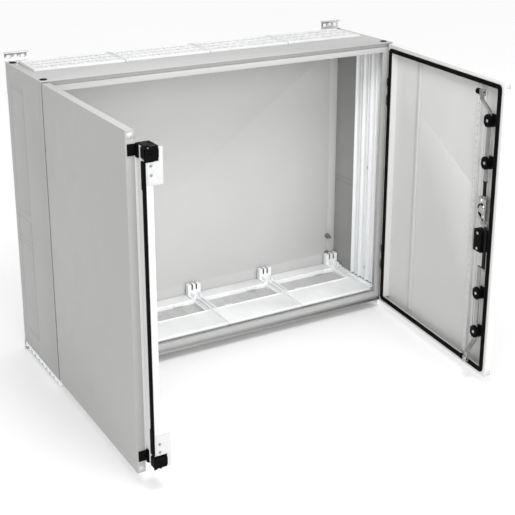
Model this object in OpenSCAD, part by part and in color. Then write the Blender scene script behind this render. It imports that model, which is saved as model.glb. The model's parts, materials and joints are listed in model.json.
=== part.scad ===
// Wall-mounted industrial switchboard cabinet with two doors.
// Millimetres, +Z up, the front faces -Y and the wall is the plane y = 0.
// The origin is the centre of the four wall-fixing holes.

/* [Cabinet body] */
// Width over the side panels
body_w = 1050; // [850:1:1400]
// Height over the top and bottom panels
body_h = 800; // [650:1:1100]
// Depth from the back of the body to its front edge
body_d = 275; // [230:1:400]
// Sheet steel thickness
sheet = 1.5; // [1:0.1:2.5]
// Gap between the wall and the back of the body
wall_gap = 8; // [6:0.5:15]

/* [Front frame] */
// Width of the front frame from the outer edge to the opening
frame_w = 28; // [24:0.5:40]
// Width of the rain gutter between the outer wall and the sealing lip
gutter_w = 11.5; // [9:0.5:14]
// Setback of the sealing face behind the front edge of the body
lip_set = 3.8; // [3:0.1:6]
// Depth of the folded frame section behind the front edge
frame_d = 13.5; // [11:0.5:18]

/* [Doors] */
// Width of the left door
left_door_w = 498; // [400:1:700]
// Gap between the two closed doors
meeting_gap = 3; // [2.5:0.1:5]
// Depth of a door from its face to its rear flange
door_t = 20; // [17:0.5:28]
// Gap between a closed door and the front edge of the body
door_gap = 1.5; // [1:0.1:3]
// Setback of a door's top and bottom edge from the body's
door_edge = 2; // [0.5:0.5:4]
// Width of the flange folded inwards round the back of a door
return_w = 24; // [22:0.5:30]
// Opening angle of the left door as drawn
left_open = 90; // [60:1:110]
// Opening angle of the right door as drawn
right_open = 84; // [60:1:110]
// Distance of a hinge axis from the outer side of the body
pivot_in = 7; // [6.5:0.1:9]
// Distance of a hinge axis in front of the body's front edge
pivot_out = 14; // [13.5:0.1:16]

/* [Door seals] */
// Distance from the door edge to its seal
seal_in = 10; // [9.5:0.5:12]
// Width of the door seal
seal_w = 12; // [10:0.5:14]
// Clearance between a seal and what it closes on
seal_clear = 0.3; // [0.2:0.05:0.6]

/* [Hinges] */
// Height of a hinge
hinge_h = 76; // [60:1:100]
// Height of a hinge's centre above and below the middle of the door
hinge_z = 257; // [200:1:280]
// Diameter of a hinge knuckle
knuckle_d = 11; // [10:0.5:12]
// Diameter of a hinge pin
hinge_pin_d = 6; // [5:0.5:7]
// Radial clearance of a turning pin or shaft
run_clear = 0.05; // [0.02:0.01:0.08]

/* [Meeting stile] */
// Reach of the meeting stile beyond the left door's free edge
stile_reach = 44; // [38:1:46]
// Depth of the meeting stile
stile_d = 15; // [12:0.5:20]
// Clearance between the stile's ends and the frame opening
stile_end = 4; // [3:0.5:8]

/* [Rod lock] */
// Distance of the lock rods from the right door's free edge
rod_in = 58; // [56:1:70]
// Width of a lock rod
rod_w = 14; // [12:0.5:16]
// Thickness of a lock rod
rod_t = 3; // [2.5:0.5:4]
// Height of the lock spindle above the middle of the door
lock_z = 55; // [20:1:80]
// Pitch radius of the lock pinion
pinion_r = 9; // [8:0.5:11]
// Diameter of a rod roller
roller_d = 15; // [12:0.5:17]
// Width of a rod roller
roller_w = 13; // [9:0.5:16]
// Height of the outer rod guides above and below the middle of the door
guide_outer_z = 288; // [240:1:295]
// Height of the inner rod guides above and below the middle of the door
guide_inner_z = 178; // [140:1:200]
// Side of the square spindle
spindle_a = 8; // [7:1:9]

/* [Passive door latches] */
// Width of a latch bolt
bolt_w = 18; // [14:0.5:22]
// Thickness of a latch bolt
bolt_t = 7; // [5:0.5:9]
// Travel of a latch bolt
bolt_travel = 12; // [9:0.5:14]

/* [Cable entries] */
// Number of cable fields side by side
fields = 4; // [2:1:5]
// Pitch of the cable fields
field_w = 250; // [200:1:260]
// Depth of a cable flange plate
flange_d = 128; // [90:1:140]
// Distance of a cable flange plate from the back of the body
flange_back = 24; // [16:1:40]
// Rise of the inner cable tray above the bottom panel
tray_h = 28.5; // [20:0.5:34]

/* [Wall brackets] */
// Width of a wall bracket
bracket_w = 60; // [50:1:80]
// Diameter of a wall-fixing hole
fix_hole_d = 8.5; // [7:0.5:11]
// Distance of a wall-fixing hole above or below the body
fix_rise = 14; // [12:0.5:20]

/* [Hidden] */
$fn = 48;
eps = 0.5;

// Body planes
half_w = body_w / 2;
half_h = body_h / 2;
in_w = half_w - sheet;
in_h = half_h - sheet;
back_y = -wall_gap;
front_y = back_y - body_d;
open_w = half_w - frame_w;
open_h = half_h - frame_w;

// Door frame of reference: the hinge axis, with the free edge towards -x and the face towards -y
door_h = body_h - 2 * door_edge;
right_door_w = body_w - left_door_w - meeting_gap;
rear_pl = pivot_out - door_gap;
face_pl = rear_pl - door_t;
skin_pl = face_pl + sheet;
lip_pl = pivot_out + lip_set;
frame_pl = pivot_out + frame_d;
seal_t = lip_pl - rear_pl - seal_clear;
left_free = pivot_in - left_door_w;
right_free = pivot_in - right_door_w;

// Hinges
knuckle_gap = 0.5;
knuckle_h = (hinge_h - 2 * knuckle_gap) / 3;
hinge_web = 3;
hinge_clear = 4;
knuckle_clear = 1.5;
notch_w = pivot_in + knuckle_d / 2 + knuckle_clear;

// Meeting stile, measured from the left door's free edge
stile_z = open_h - stile_end;
stile_front = lip_pl;
stile_back = stile_front + stile_d;
meet_seal_t = stile_front - rear_pl - 2 * seal_clear - 0.2;
meet_seal_in = 26;
meet_seal_narrow = 30;
meet_seal_end = 92;
latch_h = 30;
latch_cap = 2.5;
latch_wrap = 3;
latch_rear = stile_back + bolt_t + 6;
slide_clear = 0.2;
knob_d = 8;

// Rod lock, in the right door's frame
rod_x = right_free + rod_in;
rod_y = 8;
guide_top = lip_pl - 1.3;
pinion_teeth = 12;
addendum = 1.2;
tooth_gap = 0.45;
rod_travel = pinion_r * PI / 2;
roller_y = frame_pl + 0.5 + roller_d / 2;
roller_z = open_h - 1.5 - roller_d / 2;
rack_w = 3;
rack_x = pinion_r + addendum + 0.3;
hub_d = 12;
axle_d = 5;

// Cable fields
flange_y = back_y - flange_back - flange_d / 2;
field_x = [for (i = [0:fields - 1]) (i - (fields - 1) / 2) * field_w];
flange_gap = 3;
flange_lap = 12;
flange_t = 4;
plug_d = 16;
plug_in = 15;

// A box between two corners
module span(a, b) {
    translate(a) cube(b - a);
}

// A rectangular ring lying in the xz plane, between two half sizes and two y values
module ring(w1, h1, w2, h2, y1, y2) {
    difference() {
        span([-w1, y1, -h1], [w1, y2, h1]);
        span([-w2, y1 - eps, -h2], [w2, y2 + eps, h2]);
    }
}

// A cylinder along y from y1 to y2
module rod_along_y(x, z, d, y1, y2) {
    translate([x, y1, z]) rotate([-90, 0, 0]) cylinder(d = d, h = y2 - y1);
}

// A cylinder along x from x1 to x2
module rod_along_x(y, z, d, x1, x2) {
    translate([x1, y, z]) rotate([0, 90, 0]) cylinder(d = d, h = x2 - x1);
}

// Something on both sides of the body
module both_sides() {
    children();
    mirror([1, 0, 0]) children();
}

// Something at the top and the bottom
module both_ends() {
    children();
    mirror([0, 0, 1]) children();
}

// The right door's own frame, placed on the body
module on_right_door() {
    translate([half_w - pivot_in, front_y - pivot_out, 0]) rotate([0, 0, right_open]) children();
}

// The handle's own frame on the right door: the lever points along -z of it, turned towards the hinges
module on_handle() {
    on_right_door() translate([rod_x, 0, lock_z]) rotate([0, -90, 0]) children();
}

// The left door's own frame, placed on the body
module on_left_door() {
    translate([pivot_in - half_w, front_y - pivot_out, 0]) rotate([0, 0, -left_open])
        mirror([1, 0, 0]) children();
}

// ---------- cabinet body ----------

knock_in = 24;
knock_back = 27;
knock_front = 150;
knock_line = 2;
knock_t = 0.5;

// The outline of one pressed knock-out field in a side panel
module knock_outline(z1, z2) {
    y1 = front_y + knock_front;
    y2 = back_y - knock_back;
    difference() {
        span([half_w - knock_t, y1, z1], [half_w + eps, y2, z2]);
        span([half_w - knock_t - eps, y1 + knock_line, z1 + knock_line],
            [half_w + 2 * eps, y2 - knock_line, z2 - knock_line]);
    }
}

module side_panel() {
    mid = knock_in / 3;
    difference() {
        span([in_w, front_y, -half_h], [half_w, back_y, half_h]);
        knock_outline(mid, half_h - 2 * knock_in);
        knock_outline(-half_h + 2 * knock_in, -mid);
        span([half_w - knock_t, front_y + knock_in, -half_h - eps],
            [half_w + eps, front_y + knock_in + knock_line / 2, half_h + eps]);
    }
}

module left_side_panel() color("lightgray") mirror([1, 0, 0]) side_panel();

module right_side_panel() color("lightgray") side_panel();

// A top or bottom sheet with its cable openings and, at the top, corner holes
module end_sheet(corner_holes) {
    difference() {
        span([-in_w, front_y, in_h], [in_w, back_y, half_h]);
        for (x = field_x)
            span([x - field_w / 2 + flange_lap, flange_y - flange_d / 2 + flange_lap, in_h - eps],
                [x + field_w / 2 - flange_lap, flange_y + flange_d / 2 - flange_lap, half_h + eps]);
        if (corner_holes)
            plug_places() translate([0, 0, in_h - eps]) cylinder(d = plug_d, h = sheet + 2 * eps);
    }
}

module plug_places() {
    for (x = [-half_w + plug_in, half_w - plug_in], y = [front_y + frame_d + plug_in - 4,
        back_y - plug_in])
        translate([x, y, 0]) children();
}

module top_panel() color("gainsboro") end_sheet(true);

module bottom_panel() color("gainsboro") mirror([0, 0, 1]) end_sheet(false);

bolt_x = half_w - bracket_w / 2;
bolt_z = half_h - 65;
bolt_d = 8;
stud_z = bolt_z - 60;

module rear_panel() {
    color("silver") difference() {
        span([-in_w, back_y - sheet, -in_h], [in_w, back_y, in_h]);
        for (x = [-bolt_x, bolt_x], z = [-bolt_z, bolt_z])
            rod_along_y(x, z, bolt_d + 2 * run_clear, back_y - sheet - eps, back_y + eps);
    }
}

// The folded frame round the opening: gutter floor, sealing lip, face and inner return
module front_frame() {
    u1 = sheet + gutter_w;
    gutter_y = front_y + frame_d - sheet;
    lip_y = front_y + lip_set;
    color("whitesmoke") {
        ring(in_w, in_h, half_w - u1, half_h - u1, gutter_y, gutter_y + sheet);
        ring(half_w - u1, half_h - u1, half_w - u1 - sheet, half_h - u1 - sheet, lip_y, gutter_y + sheet);
        ring(half_w - u1 - sheet, half_h - u1 - sheet, open_w, open_h, lip_y, lip_y + sheet);
        ring(open_w + sheet, open_h + sheet, open_w, open_h, lip_y + sheet, gutter_y + sheet);
    }
}

profile_y1 = 43;
profile_y2 = 160;
profile_t = 3;
profile_rib = 11;
profile_ribs = 7;
profile_z1 = -in_h + tray_h + 4;
profile_z2 = in_h - 2;
profile_screw_z = [profile_z1 + 40, 0, profile_z2 - 40];

// The ribbed upright on the inside of a side panel
module side_profile() {
    step = (profile_y2 - profile_y1 - profile_t) / (profile_ribs - 1);
    difference() {
        union() {
            span([in_w - profile_t, front_y + profile_y1, profile_z1], [in_w, front_y + profile_y2,
                profile_z2]);
            for (i = [0:profile_ribs - 1])
                span([in_w - (i % 2 == 0 ? profile_rib : profile_rib - 4), front_y + profile_y1 + i * step,
                    profile_z1], [in_w, front_y + profile_y1 + i * step + profile_t, profile_z2]);
        }
        for (z = profile_screw_z)
            rod_along_x(front_y + profile_y1 + 2.5 * step + profile_t / 2, z, 5, in_w - profile_t - eps,
                in_w + eps);
    }
}

module left_side_profile() color("ghostwhite") mirror([1, 0, 0]) side_profile();

module right_side_profile() color("ghostwhite") side_profile();

module profile_screws() {
    step = (profile_y2 - profile_y1 - profile_t) / (profile_ribs - 1);
    y = front_y + profile_y1 + 2.5 * step + profile_t / 2;
    color("gray") both_sides() for (z = profile_screw_z) {
        rod_along_x(y, z, 4.8, in_w - profile_t, in_w);
        difference() {
            rod_along_x(y, z, 9, in_w - profile_t - 3, in_w - profile_t);
            span([in_w - profile_t - 4, y - 0.6, z - 3], [in_w - profile_t - 1.6, y + 0.6, z + 3]);
            span([in_w - profile_t - 4, y - 3, z - 0.6], [in_w - profile_t - 1.6, y + 3, z + 0.6]);
        }
    }
}

entry_cols = 9;
entry_rows = 3;
entry_d = 17;

// A cable flange's rimmed plate
module flange_plate() {
    w = field_w - flange_gap;
    span([-w / 2, -flange_d / 2, 0], [w / 2, flange_d / 2, flange_t]);
    for (s = [-1, 1]) {
        translate([s * (w / 2 - 4) - 2, -flange_d / 2 + 2, flange_t]) cube([4, flange_d - 4, 2]);
        translate([-w / 2 + 6, s * (flange_d / 2 - 4) - 2, flange_t]) cube([w - 12, 4, 2]);
    }
}

// One upper cable flange: a rimmed plate with rows of knock-out cups
module cable_flange(x) {
    w = field_w - flange_gap;
    pitch_x = (w - 24) / entry_cols;
    pitch_y = (flange_d - 22) / entry_rows;
    translate([x, flange_y, half_h]) difference() {
        flange_plate();
        for (i = [0:entry_cols - 1], j = [0:entry_rows - 1])
            translate([(i - (entry_cols - 1) / 2) * pitch_x, (j - (entry_rows - 1) / 2) * pitch_y, 1.2])
                cylinder(d = (i + j) % 2 == 0 ? entry_d : entry_d + 5, h = flange_t);
    }
}

module top_cable_flanges() {
    color("white") for (x = field_x) cable_flange(x);
}

tray_gap = 1.5;
tray_wall = 3;
tray_front = 38;
tray_open_w = 210;
tray_open_d = 76;
tray_open_back = 56;
tray_top = tray_h - in_h;
tray_back = back_y - sheet - tray_gap;
tray_y2 = tray_back - tray_open_back;
tray_y1 = tray_y2 - tray_open_d;
tray_tabs = [[38, 68, tray_y2 - 7, tray_y2 + 1], [-78, -52, tray_y1 - 1, tray_y1 + 7]];
dome_gap = 1;
dome_wall = 2;
dome_drop = 8;

// One lower cable flange: its plate carries a hollow dome that fills the tray's opening from below
module lower_flange(x) {
    low = half_h - sheet - tray_h + dome_drop;
    hx = tray_open_w / 2 - dome_gap;
    translate([x, 0, 0]) difference() {
        union() {
            translate([0, flange_y, half_h]) flange_plate();
            span([-hx, tray_y1 + dome_gap, low], [hx, tray_y2 - dome_gap, half_h + 1]);
        }
        span([-hx + dome_wall, tray_y1 + dome_gap + dome_wall, low + dome_wall],
            [hx - dome_wall, tray_y2 - dome_gap - dome_wall, half_h + flange_t + 3]);
    }
}

module bottom_cable_flanges() {
    color("white") mirror([0, 0, 1]) for (x = field_x) lower_flange(x);
}

// One inner cable tray: a hollow moulding with a notched opening over the cable flange
module cable_tray(x) {
    y1 = front_y + tray_front;
    y2 = tray_back;
    w = field_w - tray_gap;
    translate([x, 0, 0]) difference() {
        union() {
            span([-w / 2, y1, -in_h], [w / 2, y2, tray_top]);
            translate([-w / 2, y1, tray_top - 6]) rotate([0, 90, 0]) cylinder(r = 6, h = w);
        }
        difference() {
            span([-w / 2 + tray_wall, y1 + tray_wall, -in_h - eps], [w / 2 - tray_wall, y2 - tray_wall,
                tray_top - tray_wall]);
            span([-tray_open_w / 2 - tray_wall, tray_y1 - tray_wall, -in_h],
                [tray_open_w / 2 + tray_wall, tray_y2 + tray_wall, tray_top]);
        }
        difference() {
            span([-tray_open_w / 2, tray_y1, -in_h - eps], [tray_open_w / 2, tray_y2, tray_top + eps]);
            for (t = tray_tabs) span([t[0], t[2], tray_top - tray_wall], [t[1], t[3], tray_top]);
        }
        span([-tray_open_w / 2 - eps, y1 - 7, -in_h - eps], [tray_open_w / 2 + eps, y1 + eps, -in_h + 2]);
    }
}

module cable_trays() {
    color("white") for (x = field_x) cable_tray(x);
}

clip_w = 42;
clip_h = 38;
clip_t = 16;
clip_foot = 46;
clip_back = 8;

// A two-slotted retaining clip standing over the joint of two trays
module field_clip(x) {
    y2 = back_y - sheet - clip_back;
    translate([x, y2, tray_top]) difference() {
        union() {
            span([-clip_w / 2, -clip_t, 0], [clip_w / 2, 0, clip_h]);
            span([-clip_w / 2, -clip_foot, 0], [clip_w / 2, -clip_t, 5]);
            for (s = [-1, 1]) span([s * clip_w / 4 - 3, -clip_foot + 6, 5], [s * clip_w / 4 + 3, -clip_t,
                14]);
        }
        for (s = [-1, 1]) span([s * 7 - 2.5, -clip_t - eps, clip_h - 18], [s * 7 + 2.5, eps,
            clip_h + eps]);
    }
}

module field_clips() {
    color("white") for (i = [0:fields]) field_clip((i - fields / 2) * field_w);
}

strip_h = 16;
strip_w = 18;
strip_ribs = 9;

// Ribbed joining strips under the two side edges of the body
module bottom_edge_strips() {
    pitch = (body_d - 10) / strip_ribs;
    color("white") both_sides() difference() {
        span([half_w - strip_w - 1, front_y + 2, -half_h - strip_h], [half_w - 1, back_y - 2, -half_h]);
        for (i = [0:strip_ribs - 1])
            span([half_w - 5, front_y + 5 + (i + 0.2) * pitch, -half_h - strip_h - eps],
                [half_w, front_y + 5 + (i + 0.8) * pitch, -half_h - 3]);
    }
}

// Black plugs in the four corner holes of the top
module corner_plugs() {
    color("black") plug_places() {
        translate([0, 0, half_h - sheet - 4]) cylinder(d = plug_d - 2 * run_clear, h = sheet + 4);
        translate([0, 0, half_h]) cylinder(d1 = plug_d + 5, d2 = plug_d, h = 2);
    }
}

bracket_t = 3;
bracket_up = 22;

// One wall bracket, at the upper right corner of the body
module wall_bracket() {
    x1 = half_w - bracket_w;
    top = half_h + bracket_up;
    difference() {
        union() {
            span([x1, back_y, bolt_z - 20], [half_w, back_y + bracket_t, half_h + bracket_t]);
            span([x1, back_y + bracket_t, half_h], [half_w, -bracket_t, half_h + bracket_t]);
            span([x1, -bracket_t, half_h], [half_w, 0, top]);
            span([x1 - 3, -bracket_t - 8, top], [half_w + 1, 0, top + bracket_t]);
        }
        rod_along_y(bolt_x, half_h + fix_rise, fix_hole_d, -bracket_t - eps, eps);
        for (s = [-1, 1])
            span([bolt_x + s * 19 - 5, -bracket_t - eps, half_h + 7], [bolt_x + s * 19 + 5, eps, top - 5]);
        rod_along_y(bolt_x, bolt_z, bolt_d + 2 * run_clear, back_y - eps, back_y + bracket_t + eps);
    }
}

module wall_brackets() {
    color("silver") both_ends() both_sides() wall_bracket();
}

// Hex bolts from inside the body into the wall brackets
module bracket_bolts() {
    color("dimgray") for (x = [-bolt_x, bolt_x], z = [-bolt_z, bolt_z]) {
        rod_along_y(x, z, bolt_d, back_y - sheet, back_y + bracket_t + 2);
        rod_along_y(x, z, 17, back_y - sheet - 1.6, back_y - sheet);
        translate([x, back_y - sheet - 1.6, z]) rotate([90, 0, 0]) cylinder(d = 15, h = 5.5, $fn = 6);
    }
}

// Earthing stud on the rear panel, with its nut
module earth_stud() {
    color("silver") {
        rod_along_y(bolt_x, -stud_z, 8, back_y - sheet - 22, back_y - sheet);
        rod_along_y(bolt_x, -stud_z, 16, back_y - sheet - 5, back_y - sheet);
        translate([bolt_x, back_y - sheet - 5, -stud_z]) rotate([90, 0, 0]) cylinder(d = 15, h = 6.5,
            $fn = 6);
    }
}

// ---------- hinges ----------

// The heights where one third of each hinge starts
module hinge_thirds(thirds) {
    for (s = [-1, 1], i = thirds)
        translate([0, 0, s * hinge_z - hinge_h / 2 + i * (knuckle_h + knuckle_gap)]) children();
}

// Body leaves in the right door's closed frame: knuckles, webs through the gutter and a foot on its floor
module body_leaf_set() {
    hinge_thirds([0, 2]) difference() {
        union() {
            cylinder(d = knuckle_d, h = knuckle_h);
            span([-hinge_web / 2, 0, 0], [hinge_web / 2, frame_pl - sheet, knuckle_h]);
        }
        translate([0, 0, -eps]) cylinder(d = hinge_pin_d + 2 * run_clear, h = knuckle_h + 2 * eps);
    }
    for (s = [-1, 1])
        span([-hinge_web / 2 - 2.5, frame_pl - sheet - 3, s * hinge_z - hinge_h / 2],
            [hinge_web / 2 + 2.5, frame_pl - sheet, s * hinge_z + hinge_h / 2]);
}

module hinge_body_leaves() {
    color("silver") both_sides() translate([half_w - pivot_in, front_y - pivot_out, 0]) body_leaf_set();
}

module hinge_pins() {
    color("dimgray") both_sides() translate([half_w - pivot_in, front_y - pivot_out, 0])
        for (s = [-1, 1]) translate([0, 0, s * hinge_z - hinge_h / 2]) {
            translate([0, 0, -1.5]) cylinder(d = hinge_pin_d, h = hinge_h + 3);
            translate([0, 0, hinge_h]) cylinder(d = knuckle_d - 2, h = 2);
        }
}

leaf_reach = 12;
leaf_inner = knuckle_d / 2 + knuckle_clear;

// Door leaves: the middle knuckle with a plate on the inside of the door's face
module door_leaf_set() {
    hinge_thirds([1]) difference() {
        union() {
            cylinder(d = knuckle_d, h = knuckle_h);
            span([-leaf_reach, skin_pl, 0], [0, skin_pl + hinge_web, knuckle_h]);
        }
        translate([0, 0, -eps]) cylinder(d = hinge_pin_d + 2 * run_clear, h = knuckle_h + 2 * eps);
    }
    for (s = [-1, 1])
        span([-leaf_reach, skin_pl, s * hinge_z - hinge_h / 2],
            [-leaf_inner, skin_pl + hinge_web, s * hinge_z + hinge_h / 2]);
}

module left_hinge_leaves() color("silver") on_left_door() door_leaf_set();

module right_hinge_leaves() color("silver") on_right_door() door_leaf_set();

// ---------- door shells ----------

// A door pan of a given width in the closed door's frame
module door_pan(w) {
    x1 = pivot_in - w;
    z = door_h / 2;
    difference() {
        span([x1, face_pl, -z], [pivot_in, rear_pl, z]);
        span([x1 + sheet, skin_pl, -z + sheet], [pivot_in - sheet, rear_pl - sheet, z - sheet]);
        span([x1 + return_w, rear_pl - sheet - eps, -z + return_w], [pivot_in - return_w, rear_pl + eps,
            z - return_w]);
        for (s = [-1, 1])
            span([pivot_in - notch_w, skin_pl, s * hinge_z - hinge_h / 2 - hinge_clear],
                [pivot_in + eps, rear_pl + eps, s * hinge_z + hinge_h / 2 + hinge_clear]);
    }
}

// A seal bead round a door's rear flange; the free side can be left open
module door_seal(w, free_side) {
    x1 = pivot_in - w + seal_in;
    x2 = pivot_in - seal_in;
    z = door_h / 2 - seal_in;
    y2 = rear_pl + seal_t;
    difference() {
        translate([0, rear_pl, 0]) rotate([90, 0, 0]) mirror([0, 0, 1]) linear_extrude(seal_t)
            rounded_loop(x1, x2, z);
        if (!free_side) span([x1 - eps, rear_pl - eps, -z + seal_w], [x1 + seal_w + eps, y2 + eps,
            z - seal_w]);
    }
}

// A flat loop with rounded outer and inner corners
module rounded_loop(x1, x2, z) {
    difference() {
        rounded_plate(x1, x2, z, seal_w);
        rounded_plate(x1 + seal_w, x2 - seal_w, z - seal_w, seal_w / 3);
    }
}

module rounded_plate(x1, x2, z, r) {
    translate([x1, -z + r]) square([x2 - x1, 2 * (z - r)]);
    translate([x1 + r, -z]) square([x2 - x1 - 2 * r, 2 * z]);
    for (x = [x1 + r, x2 - r], y = [-z + r, z - r]) translate([x, y]) circle(r);
}

stiff_w = 24;
stiff_h = 4;
stiff_in = 131;
stiff_end = 3;

// A hat-section stiffener on the inside of a door
module stiffener() {
    x = pivot_in - stiff_in;
    z = door_h / 2 - return_w - stiff_end;
    difference() {
        union() {
            span([x - stiff_w, skin_pl, -z], [x, skin_pl + sheet, z]);
            span([x - stiff_w + 5, skin_pl, -z], [x - 5, skin_pl + stiff_h, z]);
        }
        span([x - stiff_w + 5 + sheet, skin_pl - eps, -z - eps], [x - 5 - sheet,
            skin_pl + stiff_h - sheet, z + eps]);
    }
}

// ---------- left door ----------

module left_door_panel() color("gainsboro") on_left_door() door_pan(left_door_w);

module left_door_seal() color("black") on_left_door() door_seal(left_door_w, false);

module left_door_stiffener() color("gainsboro") on_left_door() stiffener();

// The folded stile that the right door closes against
module meeting_stile() {
    e = left_free;
    foot = return_w - 1;
    color("whitesmoke") on_left_door() for (b = [
        [[e, rear_pl], [e + foot, rear_pl + sheet]],
        [[e, rear_pl + sheet], [e + sheet, stile_front + sheet]],
        [[e - stile_reach, stile_front], [e, stile_front + sheet]],
        [[e - stile_reach, stile_front + sheet], [e - stile_reach + sheet, stile_back]],
        [[e - stile_reach + sheet, stile_back - sheet], [e - stile_reach + 14, stile_back]]])
        span([b[0][0], b[0][1], -stile_z], [b[1][0], b[1][1], stile_z]);
}

// The rubber strip on the stile, wider towards its ends
module meeting_seal() {
    e = left_free;
    z = stile_z - latch_h;
    color("black") on_left_door() {
        span([e - stile_reach + 1, stile_front - meet_seal_t, -z], [e - meet_seal_narrow, stile_front, z]);
        both_ends() span([e - stile_reach + 1, stile_front - meet_seal_t, z - meet_seal_end + latch_h],
            [e - meet_seal_in, stile_front, z]);
    }
}

flap_t = 2;
flap_y = skin_pl + 2;
flap_block = 11;
knob_up = 9;

// A moulded latch housing that wraps the upper end of the stile
module latch_housing() {
    e = left_free;
    z1 = stile_z - latch_h;
    z2 = stile_z + latch_cap;
    bx = e - stile_reach / 2;
    c = bolt_w / 2 + slide_clear;
    k = knob_d / 2 + slide_clear;
    y0 = rear_pl + 0.5;
    y1 = stile_back + 1.5;
    outer = e - stile_reach;
    difference() {
        union() {
            span([e - flap_t, flap_y, z1 + 5], [e, stile_front, z2 - 2]);
            span([e - flap_block, y0, z1 + 2], [e - flap_t, stile_front, z2]);
            span([outer, stile_front, stile_z], [e, latch_rear, z2]);
            span([outer, stile_back, z1], [e - 4, latch_rear, stile_z]);
            span([outer - latch_wrap, y0, z1], [outer, stile_back - 1, z2]);
            span([outer - latch_wrap, stile_back - 1, z1 + 8], [outer, latch_rear, z2 - 6]);
        }
        span([bx - c, y1 - slide_clear, z1 - eps], [bx + c, y1 + bolt_t + slide_clear, z2 + eps]);
        span([bx - k, y1 + bolt_t, z1 + knob_up - k], [bx + k, latch_rear + eps,
            z1 + knob_up + bolt_travel + k]);
        translate([outer - latch_wrap, y0 + 10, z2]) rotate([45, 0, 0]) cube([16, 6, 6], center = true);
        span([outer - latch_wrap - eps, y0 + 4, z1 + 11], [outer - latch_wrap / 2, stile_back - 3,
            z1 + 17]);
    }
}

// A latch bolt with its finger knob
module latch_bolt() {
    bx = left_free - stile_reach / 2;
    y1 = stile_back + 1.5;
    z1 = stile_z - latch_h;
    z2 = stile_z + latch_cap;
    span([bx - bolt_w / 2, y1, z1 - 6], [bx + bolt_w / 2, y1 + bolt_t, z2 - 1]);
    rod_along_y(bx, z1 + knob_up, knob_d, y1 + bolt_t, latch_rear + 7);
    rod_along_y(bx, z1 + knob_up, knob_d + 4, latch_rear + 1, latch_rear + 5);
}

module top_latch_housing() color("black") on_left_door() latch_housing();

module bottom_latch_housing() color("black") on_left_door() mirror([0, 0, 1]) latch_housing();

module top_latch_bolt() color("dimgray") on_left_door() latch_bolt();

module bottom_latch_bolt() color("dimgray") on_left_door() mirror([0, 0, 1]) latch_bolt();

strike_h = 80;
strike_out = 22;
strike_screw = [8, 28];
strike_screw_y = stile_back - 5;

// White strike plates on the side of the stile, beside the latch housings
module strike_plates() {
    x = left_free - stile_reach;
    z2 = stile_z - latch_h;
    z1 = stile_z - strike_h;
    color("white") on_left_door() both_ends() difference() {
        union() {
            span([x - sheet, stile_front + 2, z1], [x, stile_back, z2 - 0.5]);
            span([x - sheet, stile_back, z1], [x, stile_back + strike_out, z2 - 0.5]);
            span([x - sheet, latch_rear + 0.5, z1], [x, stile_back + strike_out, stile_z]);
        }
        for (d = strike_screw) rod_along_x(strike_screw_y, z2 - d, 4, x - sheet - eps, x + eps);
    }
}

module strike_screws() {
    x = left_free - stile_reach;
    z2 = stile_z - latch_h;
    color("gray") on_left_door() both_ends() for (d = strike_screw) {
        rod_along_x(strike_screw_y, z2 - d, 3.9, x - sheet, x);
        rod_along_x(strike_screw_y, z2 - d, 6, x - sheet - 1.5, x - sheet);
    }
}

// ---------- right door ----------

plate_w = 34;
plate_up = 26;
plate_down = 150;
plate_t = 6;
hub_out_d = 24;

module right_door_panel() {
    color("gainsboro") on_right_door() difference() {
        door_pan(right_door_w);
        rod_along_y(rod_x, lock_z, hub_d + 1, face_pl - eps, skin_pl + eps);
    }
}

module right_door_seal() color("black") on_right_door() door_seal(right_door_w, true);

module right_door_stiffener() color("gainsboro") on_right_door() stiffener();

rail_in = 428;
rail_w = 16;
rail_h = 10;
rail_pitch = 20;
rail_hole = 5;
rail_end = 3;

// A perforated angle for wiring and document holders
module perforated_rail() {
    x = max(pivot_in - rail_in, rod_x + rod_w + 25 + rail_w);
    z = door_h / 2 - return_w - rail_end;
    n = floor(2 * (z - 10) / rail_pitch);
    color("gainsboro") on_right_door() {
        difference() {
            span([x - rail_w, skin_pl + rail_h - sheet, -z], [x, skin_pl + rail_h, z]);
            for (i = [0:n])
                rod_along_y(x - rail_w / 2, (i - n / 2) * rail_pitch, rail_hole, skin_pl,
                    skin_pl + rail_h + eps);
        }
        span([x - rail_w, skin_pl, -z], [x - rail_w + sheet, skin_pl + rail_h, z]);
        span([x - rail_w - 12, skin_pl, -z], [x - rail_w, skin_pl + sheet, z]);
    }
}

guide_a = 28;
guide_h = 32;
guide_cut = 8;
rod_clear = 0.2;

// Places of the four rod guides
module guide_places() {
    for (s = [-1, 1], g = [guide_inner_z, guide_outer_z]) translate([rod_x, 0, s * g]) children();
}

// Octagonal plastic guides that the rods slide through
module rod_guides() {
    c = rod_w / 2 + rod_clear;
    color("black") on_right_door() guide_places() difference() {
        translate([0, skin_pl, 0]) rotate([90, 0, 0]) mirror([0, 0, 1]) linear_extrude(guide_top - skin_pl)
            polygon([[-guide_a / 2 + guide_cut, -guide_h / 2], [guide_a / 2 - guide_cut, -guide_h / 2],
                [guide_a / 2, -guide_h / 2 + guide_cut], [guide_a / 2, guide_h / 2 - guide_cut],
                [guide_a / 2 - guide_cut, guide_h / 2], [-guide_a / 2 + guide_cut, guide_h / 2],
                [-guide_a / 2, guide_h / 2 - guide_cut], [-guide_a / 2, -guide_h / 2 + guide_cut]]);
        span([-c, rod_y - rod_clear, -guide_h], [c, rod_y + rod_t + rod_clear, guide_h]);
        rod_along_y(0, 0, 8, rod_y + rod_t + 1, guide_top + eps);
    }
}

module guide_screws() {
    color("silver") on_right_door() guide_places()
        rod_along_y(0, 0, 7.8, rod_y + rod_t + 1.5, guide_top + 0.5);
}

case_a = 32;
case_up = 30;
case_top = guide_top - 1;
pocket_c = 0.5;

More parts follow.
